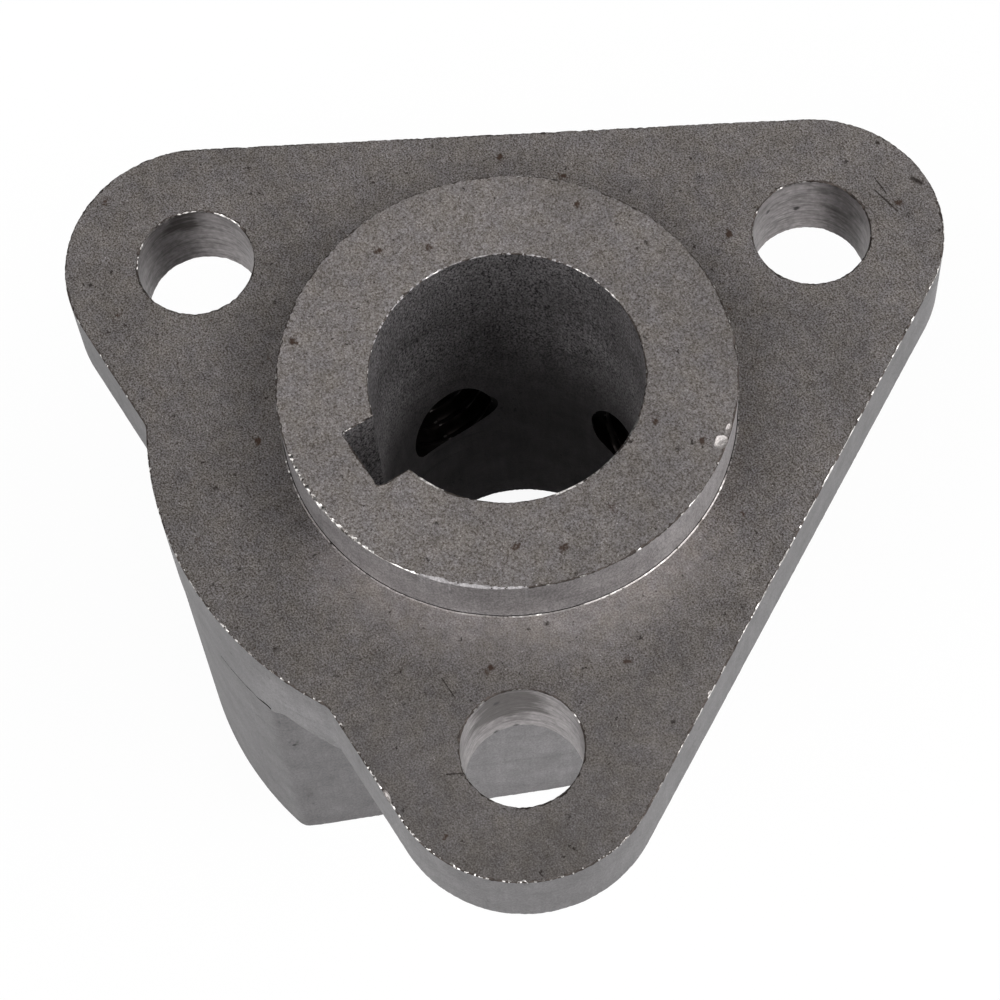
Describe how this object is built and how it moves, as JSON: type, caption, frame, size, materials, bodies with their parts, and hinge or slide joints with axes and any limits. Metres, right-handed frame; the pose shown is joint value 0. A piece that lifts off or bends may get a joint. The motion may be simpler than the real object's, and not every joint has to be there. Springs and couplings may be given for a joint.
{
  "type": "belt drive hub",
  "caption": "Flanged drive hub with a keyed shaft bore, a pilot ring, a three-eared bolting flange and a lugged barrel with radial set-screw holes.",
  "frame": {"origin": "on the bore's axis, in the plane of the barrel's lower end, on which the part stands", "axes": "+Z along the bore's axis from the barrel's lower end to the pilot ring; the lug and the keyway point along -Y; X lies across them"},
  "size_m": [0.0628, 0.0602, 0.0387],
  "materials": {
    "sintered_steel": "bare pressed and sintered steel, matt and finely grained, with smoother pressed sides"
  },
  "bodies": {
    "root": {"hub_body": "sintered_steel"}
  },
  "joints": []
}
